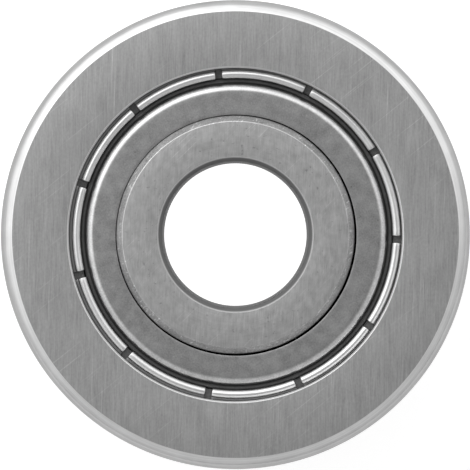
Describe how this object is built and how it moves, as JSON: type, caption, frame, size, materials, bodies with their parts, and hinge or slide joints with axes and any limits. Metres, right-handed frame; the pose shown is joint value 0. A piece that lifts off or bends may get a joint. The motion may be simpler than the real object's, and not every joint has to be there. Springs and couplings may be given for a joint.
{
  "type": "cam follower",
  "caption": "Yoke-type cam follower: a thick crowned roller ring on a shielded double-row ball bearing with a plain bore.",
  "frame": {"origin": "middle of the bore, half way between the two side faces", "axes": "+Z along the bore, out of the front face; +X and +Y are across the roller, and the first slot of the front shield is 30.9 degrees from +X towards +Y"},
  "size_m": [0.032, 0.032, 0.014],
  "materials": {
    "ring_steel": "fine ground bearing steel",
    "shield_steel": "pressed sheet steel, matt and faintly mottled",
    "ball_steel": "polished",
    "cage_polyamide": "moulded, satin"
  },
  "bodies": {
    "inner": {"inner_ring": "ring_steel"},
    "roller": {"outer_ring": "ring_steel", "shield_front": "shield_steel", "shield_back": "shield_steel"},
    "cage_front": {"cage_front": "cage_polyamide"},
    "ball_front_1": {"ball_front_1": "ball_steel"},
    "ball_front_2": {"ball_front_2": "ball_steel"},
    "ball_front_3": {"ball_front_3": "ball_steel"},
    "ball_front_4": {"ball_front_4": "ball_steel"},
    "ball_front_5": {"ball_front_5": "ball_steel"},
    "ball_front_6": {"ball_front_6": "ball_steel"},
    "ball_front_7": {"ball_front_7": "ball_steel"},
    "ball_front_8": {"ball_front_8": "ball_steel"},
    "cage_back": {"cage_back": "cage_polyamide"},
    "ball_back_1": {"ball_back_1": "ball_steel"},
    "ball_back_2": {"ball_back_2": "ball_steel"},
    "ball_back_3": {"ball_back_3": "ball_steel"},
    "ball_back_4": {"ball_back_4": "ball_steel"},
    "ball_back_5": {"ball_back_5": "ball_steel"},
    "ball_back_6": {"ball_back_6": "ball_steel"},
    "ball_back_7": {"ball_back_7": "ball_steel"},
    "ball_back_8": {"ball_back_8": "ball_steel"}
  },
  "joints": [
    {"name": "roller_turn", "type": "hinge", "parent": "inner", "child": "roller", "pos_m": [0, 0, 0], "axis": [0, 0, 1], "continuous": true},
    {"name": "cage_front_turn", "type": "hinge", "parent": "inner", "child": "cage_front", "pos_m": [0, 0, 0.0029], "axis": [0, 0, 1], "continuous": true},
    {"name": "ball_front_1_spin", "type": "hinge", "parent": "cage_front", "child": "ball_front_1", "pos_m": [0.0096, 0, 0.0029], "axis": [0, 0, 1], "continuous": true},
    {"name": "ball_front_2_spin", "type": "hinge", "parent": "cage_front", "child": "ball_front_2", "pos_m": [0.00679, 0.00679, 0.0029], "axis": [0, 0, 1], "continuous": true},
    {"name": "ball_front_3_spin", "type": "hinge", "parent": "cage_front", "child": "ball_front_3", "pos_m": [0, 0.0096, 0.0029], "axis": [0, 0, 1], "continuous": true},
    {"name": "ball_front_4_spin", "type": "hinge", "parent": "cage_front", "child": "ball_front_4", "pos_m": [-0.00679, 0.00679, 0.0029], "axis": [0, 0, 1], "continuous": true},
    {"name": "ball_front_5_spin", "type": "hinge", "parent": "cage_front", "child": "ball_front_5", "pos_m": [-0.0096, 0, 0.0029], "axis": [0, 0, 1], "continuous": true},
    {"name": "ball_front_6_spin", "type": "hinge", "parent": "cage_front", "child": "ball_front_6", "pos_m": [-0.00679, -0.00679, 0.0029], "axis": [0, 0, 1], "continuous": true},
    {"name": "ball_front_7_spin", "type": "hinge", "parent": "cage_front", "child": "ball_front_7", "pos_m": [0, -0.0096, 0.0029], "axis": [0, 0, 1], "continuous": true},
    {"name": "ball_front_8_spin", "type": "hinge", "parent": "cage_front", "child": "ball_front_8", "pos_m": [0.00679, -0.00679, 0.0029], "axis": [0, 0, 1], "continuous": true},
    {"name": "cage_back_turn", "type": "hinge", "parent": "inner", "child": "cage_back", "pos_m": [0, 0, -0.0029], "axis": [0, 0, 1], "continuous": true},
    {"name": "ball_back_1_spin", "type": "hinge", "parent": "cage_back", "child": "ball_back_1", "pos_m": [0.00887, 0.00367, -0.0029], "axis": [0, 0, 1], "continuous": true},
    {"name": "ball_back_2_spin", "type": "hinge", "parent": "cage_back", "child": "ball_back_2", "pos_m": [0.00887, -0.00367, -0.0029], "axis": [0, 0, 1], "continuous": true},
    {"name": "ball_back_3_spin", "type": "hinge", "parent": "cage_back", "child": "ball_back_3", "pos_m": [0.00367, -0.00887, -0.0029], "axis": [0, 0, 1], "continuous": true},
    {"name": "ball_back_4_spin", "type": "hinge", "parent": "cage_back", "child": "ball_back_4", "pos_m": [-0.00367, -0.00887, -0.0029], "axis": [0, 0, 1], "continuous": true},
    {"name": "ball_back_5_spin", "type": "hinge", "parent": "cage_back", "child": "ball_back_5", "pos_m": [-0.00887, -0.00367, -0.0029], "axis": [0, 0, 1], "continuous": true},
    {"name": "ball_back_6_spin", "type": "hinge", "parent": "cage_back", "child": "ball_back_6", "pos_m": [-0.00887, 0.00367, -0.0029], "axis": [0, 0, 1], "continuous": true},
    {"name": "ball_back_7_spin", "type": "hinge", "parent": "cage_back", "child": "ball_back_7", "pos_m": [-0.00367, 0.00887, -0.0029], "axis": [0, 0, 1], "continuous": true},
    {"name": "ball_back_8_spin", "type": "hinge", "parent": "cage_back", "child": "ball_back_8", "pos_m": [0.00367, 0.00887, -0.0029], "axis": [0, 0, 1], "continuous": true}
  ],
  "couplings": [
    {"joint": "cage_front_turn", "follows": "roller_turn", "ratio": 0.62401},
    {"joint": "ball_front_1_spin", "follows": "roller_turn", "ratio": 1.8919},
    {"joint": "ball_front_2_spin", "follows": "roller_turn", "ratio": 1.8919},
    {"joint": "ball_front_3_spin", "follows": "roller_turn", "ratio": 1.8919},
    {"joint": "ball_front_4_spin", "follows": "roller_turn", "ratio": 1.8919},
    {"joint": "ball_front_5_spin", "follows": "roller_turn", "ratio": 1.8919},
    {"joint": "ball_front_6_spin", "follows": "roller_turn", "ratio": 1.8919},
    {"joint": "ball_front_7_spin", "follows": "roller_turn", "ratio": 1.8919},
    {"joint": "ball_front_8_spin", "follows": "roller_turn", "ratio": 1.8919},
    {"joint": "cage_back_turn", "follows": "roller_turn", "ratio": 0.62401},
    {"joint": "ball_back_1_spin", "follows": "roller_turn", "ratio": 1.8919},
    {"joint": "ball_back_2_spin", "follows": "roller_turn", "ratio": 1.8919},
    {"joint": "ball_back_3_spin", "follows": "roller_turn", "ratio": 1.8919},
    {"joint": "ball_back_4_spin", "follows": "roller_turn", "ratio": 1.8919},
    {"joint": "ball_back_5_spin", "follows": "roller_turn", "ratio": 1.8919},
    {"joint": "ball_back_6_spin", "follows": "roller_turn", "ratio": 1.8919},
    {"joint": "ball_back_7_spin", "follows": "roller_turn", "ratio": 1.8919},
    {"joint": "ball_back_8_spin", "follows": "roller_turn", "ratio": 1.8919}
  ]
}
